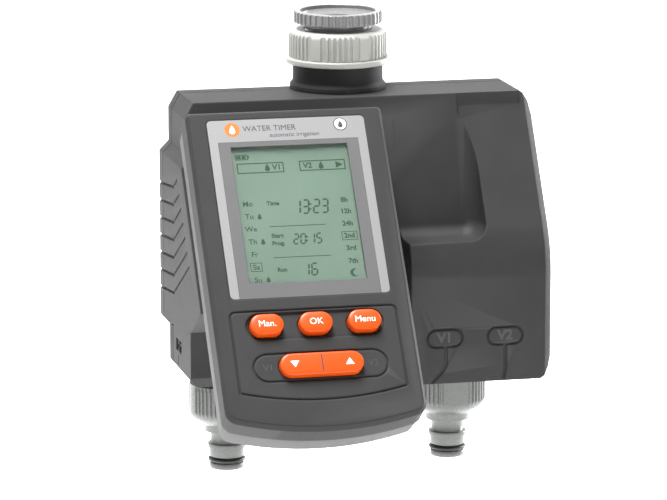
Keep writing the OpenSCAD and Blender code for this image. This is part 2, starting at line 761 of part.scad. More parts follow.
module dock_plug() part(black) face() translate([0, socket_face_y, 0]) difference() {
    union() {
        translate([0, 0, -unit_t + 0.05]) linear_extrude(4) rounded(plug_w, plug_tall, 1);
        translate([0, 0, -unit_t - 5]) linear_extrude(6) rounded(socket_w - 4.8, socket_tall - 4.8, 1);
    }
    for (x = pin_x) translate([x, 0, -unit_t - 7]) cylinder(r = 1.2, h = 8);
}

// Three AAA cells side by side
module at_cells() for (i = [-1:1])
    translate([0, bay_y + i * cell_pitch, -unit_t + cover_t + 0.6 + cell_r]) children();

module battery_cells() part([0.15, 0.2, 0.3]) face() at_cells() rotate([0, 90, 0]) {
    translate([0, 0, -cell_len / 2 - 0.6]) cylinder(r = cell_r, h = cell_len);
    translate([0, 0, cell_len / 2 - 0.6 - eps]) cylinder(r = 1.9, h = 1.2);
}

// Contact plates at both ends of the cells
module battery_contacts() part(steel) face() at_cells() for (s = [-1, 1])
    translate([s * (bay[0] / 2 - 0.45) - 0.4, -4, -4]) cube([0.8, 8, 8]);

// Cover of the battery bay, hinged along its lower edge
module battery_cover() part(charcoal) face() difference() {
    union() {
        translate([-cover_w / 2, bay_y - cover_l / 2, -unit_t]) cube([cover_w, cover_l, cover_t]);
        translate([-cover_w / 2, hinge_y, hinge_z]) rotate([0, 90, 0]) cylinder(r = 1.9, h = cover_w);
        translate([-cover_w / 2 - 2.6, hinge_y, hinge_z]) rotate([0, 90, 0])
            cylinder(r = 1, h = cover_w + 5.2);
        translate([-5, bay_y + bay[1] / 2 - 1.5, -unit_t]) cube([10, 1.2, cover_t + 2]);
    }
    for (y = [0:3]) translate([-9, bay_y + cover_l / 2 - 6 - 2 * y, -unit_t - 1]) cube([18, 0.9, 1.5]);
}

module key_body(w, h) {
    hull() {
        translate([0, 0, -2]) linear_extrude(key_proud + 1) pill(w, h);
        translate([0, 0, key_proud - 1]) linear_extrude(1) pill(w - 1.6, h - 1.6);
    }
    translate([0, 0, -4]) linear_extrude(2.2) pill(w, h);
}

module key(i) part(orange) face() translate([i * key_pitch, key_y, 0]) {
    key_body(key_size[0], key_size[1]);
    translate([0, 0, -4.6]) linear_extrude(1.6) pill(key_size[0] + 2, key_size[1] + 2);
    translate([0, 0, stem_end]) cylinder(r = 2.6, h = 4);
}

module key_rocker() part(orange) face() translate([0, rocker_y, 0]) {
    difference() {
        key_body(rocker_size[0], rocker_size[1]);
        translate([-0.4, -10, key_proud - 0.6]) cube([0.8, 20, 2]);
        translate([-5.5, 0, key_proud + 3.4]) sphere(r = 4, $fn = 32);
    }
    translate([0, 9, rocker_pivot_z]) rotate([90, 0, 0]) cylinder(r = 1, h = 18);
    translate([0, 0, -4.6]) linear_extrude(1.2) pill(rocker_size[0] - 4, rocker_size[1] - 1);
    for (s = [-1, 1]) translate([s * 12, 0, stem_end]) cylinder(r = 2.4, h = 4);
}

housing_front_shell();
housing_back_shell();
housing_seal();
housing_screws();
neck_collar();
water_manifold();
valve_seat_diaphragm(-1);  // valve_seat_diaphragm_1
valve_seat_diaphragm(1);  // valve_seat_diaphragm_2
valve_bonnet(-1);  // valve_bonnet_1
valve_bonnet(1);  // valve_bonnet_2
bonnet_screws(-1);  // bonnet_screws_1
bonnet_screws(1);  // bonnet_screws_2
valve_coil(-1);  // valve_coil_1
valve_coil(1);  // valve_coil_2
plunger(-1);  // plunger_1
plunger(1);  // plunger_2
plunger_spring(-1);  // plunger_spring_1
plunger_spring(1);  // plunger_spring_2
sensor_socket(0);  // sensor_socket_1
sensor_socket(1);  // sensor_socket_2
dock_socket();
dock_contacts();
inlet_filter();
inlet_washer();
union_nut();
thread_adapter();
adapter_washer();
outlet_connector(-1);  // outlet_connector_1
outlet_connector(1);  // outlet_connector_2
nose_oring(-1);  // nose_oring_1
nose_oring(1);  // nose_oring_2
outlet_washer(-1);  // outlet_washer_1
outlet_washer(1);  // outlet_washer_2
control_front_frame();
control_rear_case();
control_seal();
control_screws();
display_plate();
display_surround();
display_window();
display_module();
circuit_board();
keypad_mat();
contact_pads();
dock_plug();
battery_cells();
battery_contacts();
battery_cover();
key(-1);  // key_manual
key(0);  // key_ok
key(1);  // key_menu
key_rocker();
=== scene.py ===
import json
import math

import bmesh
import bpy
from mathutils import Matrix, Vector


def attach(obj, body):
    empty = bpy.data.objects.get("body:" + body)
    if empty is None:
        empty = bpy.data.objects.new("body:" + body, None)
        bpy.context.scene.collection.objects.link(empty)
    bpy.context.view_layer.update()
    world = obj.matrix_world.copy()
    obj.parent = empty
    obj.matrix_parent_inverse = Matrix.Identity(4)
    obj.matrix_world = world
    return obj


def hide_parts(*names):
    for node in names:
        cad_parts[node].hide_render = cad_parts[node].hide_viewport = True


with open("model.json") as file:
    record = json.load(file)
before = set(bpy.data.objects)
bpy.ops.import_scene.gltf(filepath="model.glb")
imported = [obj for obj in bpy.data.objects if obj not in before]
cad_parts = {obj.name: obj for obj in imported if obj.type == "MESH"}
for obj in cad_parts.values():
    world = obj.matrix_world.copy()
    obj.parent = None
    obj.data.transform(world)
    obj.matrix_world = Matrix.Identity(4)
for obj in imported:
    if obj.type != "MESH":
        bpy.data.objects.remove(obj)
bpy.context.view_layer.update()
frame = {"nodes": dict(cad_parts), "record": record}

NODES = frame["nodes"]
NODE_BODY = {node: body for body, nodes in frame["record"]["behaviour"]["bodies"].items() for node in nodes}
NODE_SLOT = {part["node"]: part["material_slot"] for part in frame["record"]["subparts"]}

# Places of the CAD model, in millimetres. Heights count from the outlet tips, as in the design.
MM = 0.001
MOUTH_H = 205.0
TILT = 36.0
FACE_X, FACE_Y, FACE_H = -37.2, -57.0, 170.3
OUTLET_X = 52.0
KEY_PITCH, KEY_Y, ROCKER_Y = 21.5, -98.7, -118.0
KEY_TOP = 3.4
LCD_Z = -2.18
PLATE_TOP = 0.1
INK = 0.05
LCD_SHIFT = (0.8, 0.9)
BLOCK_FRONT = -66.0
MARKS = ((33.3, "V1"), (61.0, "V2"))
MARK_H = 70.0
NUT_LOW, NUT_TOP = 185.4, 200.6
ADAPTER_LOW, RING_LOW, RING_TOP = 192.9, 203.4, 208.9
SKIRT_TOP = 40.3
VALVE_Y, VALVE_H = -14.0, 92.0
# Pitches of the G1 union thread and the G3/4 tap thread
UNION_PITCH, TAP_PITCH = 2.309, 1.814
FLOOR_H = -0.32
# Camera: fitted turn and drop in degrees, distance in metres, and scale in image units per millimetre
VIEW_TURN, VIEW_DROP, VIEW_DISTANCE, VIEW_SCALE = 13.3, 11.4, 2.0, 2.175
VIEW_RIGHT, VIEW_UP = -0.001858, 0.096626
SENSOR_W, IMAGE_W = 36, 667


def point(x, y, height):
    return Vector((x, y, height - MOUTH_H)) * MM


def face_matrix(x, y, z):
    """Place on the display face: x right, y up the face from the plate's top, z out of it, in mm."""
    base = Matrix.Translation(point(FACE_X, FACE_Y, FACE_H))
    base = base @ Matrix.Rotation(math.radians(90 - TILT), 4, "X")
    return base @ Matrix.Translation(Vector((x, y, z)) * MM)


def front_matrix(x, y, height):
    """Place on a wall that faces -Y."""
    return Matrix.Translation(point(x, y, height)) @ Matrix.Rotation(math.radians(90), 4, "X")


# ---------------------------------------------------------------- materials
def new_material(name):
    material = bpy.data.materials.new(name)
    material.use_nodes = True
    return material, material.node_tree, material.node_tree.nodes["Principled BSDF"]


def add(tree, kind, inputs=None, **settings):
    node = tree.nodes.new(kind)
    for key, value in settings.items():
        setattr(node, key, value)
    for key, value in (inputs or {}).items():
        node.inputs[key].default_value = value
    return node


def coordinates(tree, stretch=(1, 1, 1)):
    source = add(tree, "ShaderNodeTexCoord")
    mapping = add(tree, "ShaderNodeMapping", {"Scale": stretch})
    tree.links.new(source.outputs["Object"], mapping.inputs["Vector"])
    return mapping.outputs["Vector"]


def noise(tree, vector, scale, detail=3.0, rough=0.55):
    texture = add(tree, "ShaderNodeTexNoise", {"Scale": scale, "Detail": detail, "Roughness": rough})
    tree.links.new(vector, texture.inputs["Vector"])
    return texture.outputs["Fac"]


def ramp(tree, factor, stops):
    node = add(tree, "ShaderNodeValToRGB")
    elements = node.color_ramp.elements
    while len(elements) < len(stops):
        elements.new(0.5)
    for element, (position, colour) in zip(elements, stops):
        element.position = position
        element.color = (*colour, 1.0)
    tree.links.new(factor, node.inputs["Fac"])
    return node.outputs["Color"]


def spread(tree, factor, low, high, start=0.3, end=0.7):
    """A factor from start to end, mapped to a value from low to high."""
    limits = {"From Min": start, "From Max": end, "To Min": low, "To Max": high}
    node = add(tree, "ShaderNodeMapRange", limits)
    tree.links.new(factor, node.inputs["Value"])
    return node.outputs["Result"]


def bump(tree, shader, height, distance, strength=0.6, rounding=0.0):
    """Fine relief, over edges that look rounded with the given radius."""
    node = add(tree, "ShaderNodeBump", {"Distance": distance, "Strength": strength})
    tree.links.new(height, node.inputs["Height"])
    if rounding:
        soft = add(tree, "ShaderNodeBevel", {"Radius": rounding}, samples=6)
        tree.links.new(soft.outputs["Normal"], node.inputs["Normal"])
    tree.links.new(node.outputs["Normal"], shader.inputs["Normal"])


def tint(colour, amount):
    return tuple(min(1.0, c * amount) for c in colour)


def moulded(name, colour, rough, grain, depth, vary, wear, coat=0.0, gloss=0.5, rounding=0.0):
    """Moulded plastic or rubber: spark-eroded grain, cloudy colour, polished edges."""
    material, tree, shader = new_material(name)
    vector = coordinates(tree)
    cloud = noise(tree, vector, 55.0, 4.0)
    fine = noise(tree, vector, grain, 2.0, 0.6)
    body = ramp(tree, cloud, [(0.30, tint(colour, 1 - vary)), (0.70, tint(colour, 1 + vary))])
    edge = add(tree, "ShaderNodeNewGeometry").outputs["Pointiness"]
    worn = spread(tree, edge, 0.0, wear, 0.515, 0.60)
    mix = add(tree, "ShaderNodeMix", {"B": (*tint(colour, 1.9), 1.0)}, data_type="RGBA")
    tree.links.new(worn, mix.inputs["Factor"])
    tree.links.new(body, mix.inputs["A"])
    tree.links.new(mix.outputs["Result"], shader.inputs["Base Color"])
    tree.links.new(spread(tree, fine, rough - 0.07, rough + 0.08), shader.inputs["Roughness"])
    shader.inputs["Specular IOR Level"].default_value = gloss
    shader.inputs["Coat Weight"].default_value = coat
    shader.inputs["Coat Roughness"].default_value = 0.15
    bump(tree, shader, fine, depth, rounding=rounding)
    return material


def metal(name, colour, rough=0.3, stretch=(1, 1, 1), grain=900.0, depth=0.00002, metallic=1.0):
    """Brushed or plated metal: fine scratches along one direction."""
    material, tree, shader = new_material(name)
    vector = coordinates(tree, stretch)
    scratch = noise(tree, vector, grain, 4.0, 0.7)
    tree.links.new(ramp(tree, scratch, [(0.3, tint(colour, 0.93)), (0.7, tint(colour, 1.05))]),
                   shader.inputs["Base Color"])
    tree.links.new(spread(tree, scratch, rough - 0.06, rough + 0.1), shader.inputs["Roughness"])
    shader.inputs["Metallic"].default_value = metallic
    bump(tree, shader, scratch, depth)
    return material


def lcd_glass(name, colour):
    """Reflective liquid-crystal panel: even grey-green with a faint pixel weave."""
    material, tree, shader = new_material(name)
    vector = coordinates(tree)
    weave = add(tree, "ShaderNodeTexWave", {"Scale": 900.0, "Distortion": 0.0}, bands_direction="X")
    tree.links.new(vector, weave.inputs["Vector"])
    cloud = noise(tree, vector, 25.0, 2.0)
    tree.links.new(ramp(tree, cloud, [(0.3, tint(colour, 0.94)), (0.7, tint(colour, 1.06))]),
                   shader.inputs["Base Color"])
    tree.links.new(spread(tree, weave.outputs["Fac"], 0.28, 0.36, 0, 1), shader.inputs["Roughness"])
    bump(tree, shader, weave.outputs["Fac"], 0.00001, 0.2)
    return material


def clear(name, colour):
    """Clear acrylic with faint smears in its gloss."""
    material, tree, shader = new_material(name)
    vector = coordinates(tree, (1, 1, 0.3))
    smear = noise(tree, vector, 60.0, 5.0, 0.6)
    shader.inputs["Base Color"].default_value = (*colour, 1.0)
    shader.inputs["Transmission Weight"].default_value = 1.0
    shader.inputs["IOR"].default_value = 1.3
    tree.links.new(spread(tree, smear, 0.02, 0.10), shader.inputs["Roughness"])
    return material


def board(name, colour):
    """Circuit board: solder resist over a pattern of tracks."""
    material, tree, shader = new_material(name)
    vector = coordinates(tree)
    tracks = add(tree, "ShaderNodeTexBrick", {"Scale": 120.0, "Mortar Size": 0.03})
    tree.links.new(vector, tracks.inputs["Vector"])
    tree.links.new(ramp(tree, tracks.outputs["Fac"], [(0.0, colour), (1.0, tint(colour, 2.2))]),
                   shader.inputs["Base Color"])
    tree.links.new(spread(tree, noise(tree, vector, 400.0), 0.3, 0.45), shader.inputs["Roughness"])
    bump(tree, shader, tracks.outputs["Fac"], 0.00003)
    return material


MATERIALS = {
    "charcoal_plastic": moulded("charcoal_plastic", (0.024, 0.024, 0.024), 0.6, 2400.0, 0.00007, 0.08, 0.6,
                                gloss=0.2, rounding=0.0011),
    "case_plastic": moulded("case_plastic", (0.085, 0.085, 0.085), 0.58, 2400.0, 0.00006, 0.08, 0.3,
                            gloss=0.25, rounding=0.0008),
    "nut_plastic": moulded("nut_plastic", (0.34, 0.345, 0.32), 0.36, 1500.0, 0.00003, 0.04, 0.12),
    "connector_plastic": moulded("connector_plastic", (0.12, 0.126, 0.12), 0.30, 1500.0, 0.00003, 0.05, 0.15),
    "adapter_plastic": moulded("adapter_plastic", (0.16, 0.16, 0.16), 0.22, 1200.0, 0.00003, 0.08, 0.3,
                               coat=0.3),
    "key_plastic": moulded("key_plastic", (0.58, 0.062, 0.002), 0.34, 1800.0, 0.00002, 0.04, 0.08,
                           coat=0.05, gloss=0.35),
    "silver_plate": metal("silver_plate", (0.22, 0.22, 0.223), 0.42, (1, 12, 12), 700.0, 0.00001, 0.3),
    "surround_plastic": moulded("surround_plastic", (0.075, 0.075, 0.077), 0.6, 2600.0, 0.00002, 0.03, 0.05),
    "window": clear("window", (0.95, 0.98, 0.96)),
    "lcd": lcd_glass("lcd", (0.22, 0.30, 0.245)),
    "rubber_black": moulded("rubber_black", (0.012, 0.012, 0.012), 0.42, 1200.0, 0.00003, 0.2, 0.1),
    "rubber_pale": moulded("rubber_pale", (0.6, 0.6, 0.56), 0.6, 1500.0, 0.00003, 0.05, 0.1),
    "steel": metal("steel", (0.55, 0.55, 0.57), 0.30),
    "board": board("board", (0.015, 0.10, 0.035)),
    "gold": metal("gold", (0.80, 0.56, 0.20), 0.25),
    "pipe_plastic": moulded("pipe_plastic", (0.34, 0.36, 0.34), 0.45, 1500.0, 0.00003, 0.06, 0.15),
    "coil": metal("coil", (0.55, 0.17, 0.03), 0.3, (1, 90, 1), 30.0, 0.0001, 0.6),
    "cell": moulded("cell", (0.03, 0.06, 0.13), 0.3, 900.0, 0.00002, 0.1, 0.1),
}
SEGMENT = moulded("lcd_segment", (0.035, 0.085, 0.055), 0.5, 2000.0, 0.00001, 0.05, 0.0)
WHITE_INK = moulded("white_ink", (0.92, 0.91, 0.88), 0.45, 2500.0, 0.00001, 0.03, 0.0)
# Dark ink for the prints; the same dark material also paints the shade in the rocker's groove.
DARK_INK_AND_PAINTED_SHADE = moulded("dark_ink_and_painted_shade", (0.03, 0.03, 0.035), 0.45, 2500.0, 0.00001, 0.05, 0.0)
ORANGE_INK = moulded("orange_ink", (0.75, 0.13, 0.01), 0.4, 2500.0, 0.00001, 0.05, 0.0)
MOULDED_MARK = moulded("moulded_mark", (0.022, 0.022, 0.022), 0.45, 2400.0, 0.00004, 0.05, 0.1)


# ---------------------------------------------------------------- meshes
# Vertices nearer than this many metres are one; edges under this angle are flat, and over this one sharp
MERGE_DISTANCE, FLAT_ANGLE, SHARP_EDGE = 2e-6, 0.6, 28.0


def finish_piece(obj, body, material, replaces=()):
    obj.data.materials.clear()
    obj.data.materials.append(material)
    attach(obj, body)
    if replaces:
        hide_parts(*replaces)
    return obj


def link(name, mesh, matrix=Matrix.Identity(4)):
    mesh.transform(matrix)
    obj = bpy.data.objects.new(name, mesh)
    bpy.context.scene.collection.objects.link(obj)
    return obj


def smooth_by_angle(mesh, degrees=35.0):
    mesh.polygons.foreach_set("use_smooth", [True] * len(mesh.polygons))
    mesh.set_sharp_from_angle(angle=math.radians(degrees))


def skin(node, bevel, segments):
    """A finished copy of a CAD node: merged faces, rounded edges, clean shading."""
    mesh = NODES[node].data.copy()
    mesh.name = node + "_skin"
    work = bmesh.new()
    work.from_mesh(mesh)
    bmesh.ops.remove_doubles(work, verts=work.verts, dist=MERGE_DISTANCE)
    bmesh.ops.dissolve_limit(work, angle_limit=math.radians(FLAT_ANGLE), verts=work.verts, edges=work.edges)
    work.to_mesh(mesh)
    work.free()
    if "custom_normal" in mesh.attributes:
        mesh.attributes.remove(mesh.attributes["custom_normal"])
    mesh.polygons.foreach_set("use_smooth", [True] * len(mesh.polygons))
    obj = link(node + "_skin", mesh)
    if bevel:
        rounding = obj.modifiers.new("rounding", "BEVEL")
        rounding.width = bevel * MM
        rounding.segments = segments
        rounding.limit_method = "ANGLE"
        rounding.angle_limit = math.radians(SHARP_EDGE)
        rounding.use_clamp_overlap = True
    shade = obj.modifiers.new("shade", "WEIGHTED_NORMAL")
    shade.keep_sharp = True
    shade.weight = 100
    slot = NODE_SLOT[node]
    return finish_piece(obj, NODE_BODY[node], MATERIALS[slot], (node,))


def build(name, verts, faces, body, material, replaces=(), matrix=Matrix.Identity(4), sharp=35.0):
    mesh = bpy.data.meshes.new(name)
    mesh.from_pydata([Vector(v) * MM for v in verts], [], faces)
    mesh.validate()
    smooth_by_angle(mesh, sharp)
    return finish_piece(link(name, mesh, matrix), body, material, replaces)


def lathe(name, profile, body, material, replaces=(), at=(0, 0, 0), segments=240, shape=None,
          sharp=35.0):
    """Turn a closed (r, height) profile about Z. shape(r, h, angle) may change a point's radius."""
    verts, faces = [], []
    count = len(profile)
    for step in range(segments):
        angle = 2 * math.pi * step / segments
        for r, h in profile:
            radius = shape(r, h, angle) if shape else r
            verts.append((radius * math.cos(angle), radius * math.sin(angle), h))
    for step in range(segments):
        here, after = step * count, (step + 1) % segments * count
        for i in range(count):
            k = (i + 1) % count
            faces.append((here + i, here + k, after + k, after + i))
    matrix = Matrix.Translation(point(*at))
    return build(name, verts, faces, body, material, replaces, matrix, sharp)


def arc(cx, cy, r, start, end, steps=6):
    """Points of an arc in (r, height) or (x, y), angles in degrees."""
    angles = [math.radians(start + (end - start) * i / steps) for i in range(steps + 1)]
    return [(cx + r * math.cos(a), cy + r * math.sin(a)) for a in angles]


def rows(r, low, high, step=0.6):
    """Points straight up a wall, for shapes that vary along it."""
    count = max(1, round((high - low) / step))
    return [(r, low + (high - low) * i / count) for i in range(count + 1)]


def flat(name, outlines, body, material, matrix, thick=0.05):
    """Thin raised marks: each outline is a closed list of (x, y) points in mm."""
    verts, faces = [], []
    for outline in outlines:
        start, count = len(verts), len(outline)
        verts += [(x, y, 0) for x, y in outline] + [(x, y, thick) for x, y in outline]
        faces.append(tuple(range(start + count, start + 2 * count)))
        faces.append(tuple(reversed(range(start, start + count))))
        for i in range(count):
            k = (i + 1) % count
            faces.append((start + i, start + k, start + count + k, start + count + i))
    return build(name, verts, faces, body, material, (), matrix)


def write(name, words, size, body, material, matrix, thick=0.05, align="CENTER", bold=0.0):
    """Lettering as a thin solid that stands on its plane; size is the font's height in mm."""
    curve = bpy.data.curves.new(name, "FONT")
    curve.body = words
    curve.size = size * MM
    curve.extrude = thick * MM / 2
    curve.offset = bold * MM
    curve.align_x = align
    curve.align_y = "CENTER"
    curve.resolution_u = 4
    source = bpy.data.objects.new(name + "_curve", curve)
    bpy.context.scene.collection.objects.link(source)
    bpy.context.view_layer.update()
    mesh = bpy.data.meshes.new_from_object(source.evaluated_get(bpy.context.evaluated_depsgraph_get()))
    bpy.data.objects.remove(source)
    mesh.transform(Matrix.Translation((0, 0, thick * MM / 2)))
    smooth_by_angle(mesh, 30)
    return finish_piece(link(name, mesh, matrix), body, material)


def pill_outline(w, h, steps):
    half = (w - h) / 2
    return arc(half, 0, h / 2, -90, 90, steps) + arc(-half, 0, h / 2, 90, 270, steps)


def frame_strips(x0, y0, x1, y1, line):
    """Four strips round a box."""
    return [
        [(x0, y0), (x1, y0), (x1, y0 + line), (x0, y0 + line)],
        [(x0, y1 - line), (x1, y1 - line), (x1, y1), (x0, y1)],
        [(x0, y0 + line), (x0 + line, y0 + line), (x0 + line, y1 - line), (x0, y1 - line)],
        [(x1 - line, y0 + line), (x1, y0 + line), (x1, y1 - line), (x1 - line, y1 - line)],
    ]


def drop_outline(cx, cy, size, steps=10):
    """A water drop with its point up."""
    side, shoulder = size * 0.22, cy + size * 0.12
    low = arc(cx, cy - size * 0.16, size * 0.34, 200, 340, steps)
    return low + [(cx + side, shoulder), (cx, cy + size * 0.5), (cx - side, shoulder)]


# ---------------------------------------------------------------- camera, light, floor
def set_camera():
    turn, drop = math.radians(VIEW_TURN), math.radians(VIEW_DROP)
    look = Vector((math.sin(turn) * math.cos(drop), math.cos(turn) * math.cos(drop), -math.sin(drop)))
    right = Vector((math.cos(turn), -math.sin(turn), 0))
    up = right.cross(look)
    target = point(0, 0, 0) + right * VIEW_RIGHT + up * VIEW_UP
    data = bpy.data.cameras.new("camera")
    data.lens = SENSOR_W * VIEW_SCALE * VIEW_DISTANCE / MM / IMAGE_W
    data.clip_end = 50
    camera = bpy.data.objects.new("camera", data)
    bpy.context.scene.collection.objects.link(camera)
    axes = Matrix((right, up, -look)).transposed().to_4x4()
    camera.matrix_world = Matrix.Translation(target - look * VIEW_DISTANCE) @ axes
    bpy.context.scene.camera = camera


def area_light(name, place, aim, power, size):
    data = bpy.data.lights.new(name, "AREA")
    data.energy = power
    data.shape = "RECTANGLE"
    data.size, data.size_y = size
    light = bpy.data.objects.new(name, data)
    bpy.context.scene.collection.objects.link(light)
    light.location = place
    light.rotation_euler = (Vector(aim) - Vector(place)).to_track_quat("-Z", "Y").to_euler()


def set_lights():
    bpy.context.scene.view_settings.view_transform = "Standard"
    world = bpy.data.worlds.new("world")
    bpy.context.scene.world = world
    world.use_nodes = True
    background = world.node_tree.nodes["Background"]
    background.inputs["Color"].default_value = (1, 1, 1, 1)
    background.inputs["Strength"].default_value = 0.30
    centre = (0, -0.05, -0.1)
    area_light("left_soft", (-1.6, -0.35, 0.35), centre, 4.5, (0.9, 1.5))
    area_light("top_soft", (-0.3, -0.1, 1.5), centre, 82, (1.0, 0.8))
    area_light("front_soft", (1.2, -1.7, 0.45), centre, 4.5, (1.0, 1.0))
    area_light("right_rim", (1.3, 0.5, 0.1), centre, 30, (0.4, 1.4))


def set_floor():
    """Pale paper: a floor that sweeps up into a back wall."""
    size, bend_y, bend_r, wall_top = 6.0, 1.6, 1.2, 5.0
    mesh = bpy.data.meshes.new("floor")
    bend = arc(bend_y, FLOOR_H + bend_r, bend_r, -90, 0, 16)
    sweep = [(-size, FLOOR_H)] + bend + [(bend_y + bend_r, wall_top)]
    verts = [(x, y, z) for y, z in sweep for x in (-size, size)]
    faces = [(2 * i, 2 * i + 1, 2 * i + 3, 2 * i + 2) for i in range(len(sweep) - 1)]
    mesh.from_pydata(verts, [], faces)
    smooth_by_angle(mesh, 60)
    floor = link("floor", mesh)
    material, tree, shader = new_material("floor_paper")
    paper = noise(tree, coordinates(tree), 3.0, 2.0)
    tree.links.new(ramp(tree, paper, [(0.3, (0.94, 0.94, 0.94)), (0.7, (0.97, 0.97, 0.97))]),
                   shader.inputs["Base Color"])
    shader.inputs["Roughness"].default_value = 0.9
    shader.inputs["Emission Color"].default_value = (1, 1, 1, 1)
    shader.inputs["Emission Strength"].default_value = 0.62
    floor.data.materials.append(material)


set_camera()
set_lights()
set_floor()


# ---------------------------------------------------------------- turned and ribbed pieces
def fade(h, low, high, run):
    """1 between low and high, falling to 0 over the last run at each end."""
    return min(1.0, max(0.0, (h - low) / run)) * min(1.0, max(0.0, (high - h) / run))


def thread(h, angle, pitch):
    """0 at the crest, 1 at the root, along a right-hand screw line."""
    phase = (h / pitch - angle / (2 * math.pi)) % 1.0
    return min(1.0, max(0.0, 1.4 - abs(phase - 0.5) * 4))


def make_union_nut():
    """Six groups of narrow ribs with a wide land after each, and a flange at the foot."""
    low, top = NUT_LOW, NUT_TOP
    wall_r, rib_rise, thread_r = 21.25, 0.88, 15.2
    segments = 720
    groups = [(k * 60 + 4 + j * 6.4, 1.95) for k in range(6) for j in range(6)]
    lands = [(k * 60 + 50, 7.0) for k in range(6)]
    table = []
    for step in range(segments):
        degrees = 360 * step / segments
        table.append(max(min(1.0, max(0.0, (half - abs((degrees - a + 180) % 360 - 180)) / 0.9))
                         for a, half in groups + lands))
    outer = rows(wall_r, low + 2.7, top - 1.3, 0.7)
    inner = rows(thread_r, low + 2.2, top - 0.5, 0.42)
    profile = ([(12.9, low), (23.0, low)]
               + arc(23.0, low + 0.5, 0.5, -90, 0) + arc(23.0, low + 2.1, 0.5, 0, 90) + [(22.0, low + 2.6)]
               + outer
               + [(21.0, top - 0.9), (20.2, top - 0.35), (19.6, top - 0.05), (18.5, top), (15.7, top)]
               + list(reversed(inner)) + [(12.65, low + 2.15), (12.6, low + 0.3)])

    def shape(r, h, angle):
        if r == wall_r:
            step = round(angle / (2 * math.pi) * segments) % segments
            rib = table[step]
            return r + rib_rise * rib * rib * (3 - 2 * rib) * fade(h, low + 2.2, top - 1.25, 0.9) ** 0.5
        if r == thread_r:
            return r + 0.55 * thread(h, angle, UNION_PITCH) * fade(h, low + 2.2, top - 0.4, 0.6)
        return r

    lathe("union_nut_turned", profile, "union_nut", MATERIALS["nut_plastic"], ("union_nut",),
          segments=segments, shape=shape, sharp=40)


def make_thread_adapter():
    """Male thread into the nut, knurled ring on top, female tap thread with a washer groove inside."""
    segments = 720
    low, ring, top = ADAPTER_LOW, RING_LOW, RING_TOP
    male_r, knurl_r, female_r = 15.06, 19.2, 12.1
    knurl_turn, knurl_rise = 9.0, 0.78
    male = rows(male_r, low + 0.4, ring - 0.15, 0.33)
    knurl = rows(knurl_r, ring + 0.25, top - 0.3, 0.45)
    female = rows(female_r, low + 4.2, MOUTH_H - 0.1, 0.26)
    mouth = [(17.0, MOUTH_H + 2.25), (16.6, MOUTH_H + 2.2), (12.12, MOUTH_H)]
    groove = [(12.2, low + 4.1), (12.9, low + 4.1), (12.9, low + 2.0), (9.05, low + 2.0)]
    profile = ([(9.3, low), (14.6, low)] + male + [(15.2, ring), (18.9, ring)] + knurl
               + [(18.9, top - 0.05), (18.6, top), (17.25, top), (17.05, top - 0.2)] + mouth
               + list(reversed(female)) + groove + [(9.0, low + 0.3)])

    def shape(r, h, angle):
        if r == male_r:
            return r - 0.75 * thread(h, angle, UNION_PITCH) * fade(h, low, ring - 0.1, 0.5)
        if r == female_r:
            return r + 0.8 * thread(h, angle, TAP_PITCH) * fade(h, low + 4, MOUTH_H + 0.05, 0.5)
        if r == knurl_r:
            degrees = math.degrees(angle) % knurl_turn
            gap = min(degrees, knurl_turn - degrees)
            rib = min(1.0, max(0.0, 2.5 - gap))
            return r + knurl_rise * rib * rib * (3 - 2 * rib) * fade(h, ring, top, 0.6) ** 0.5
        return r

    lathe("thread_adapter_turned", profile, "thread_adapter", MATERIALS["adapter_plastic"],
          ("thread_adapter",), segments=segments, shape=shape, sharp=40)


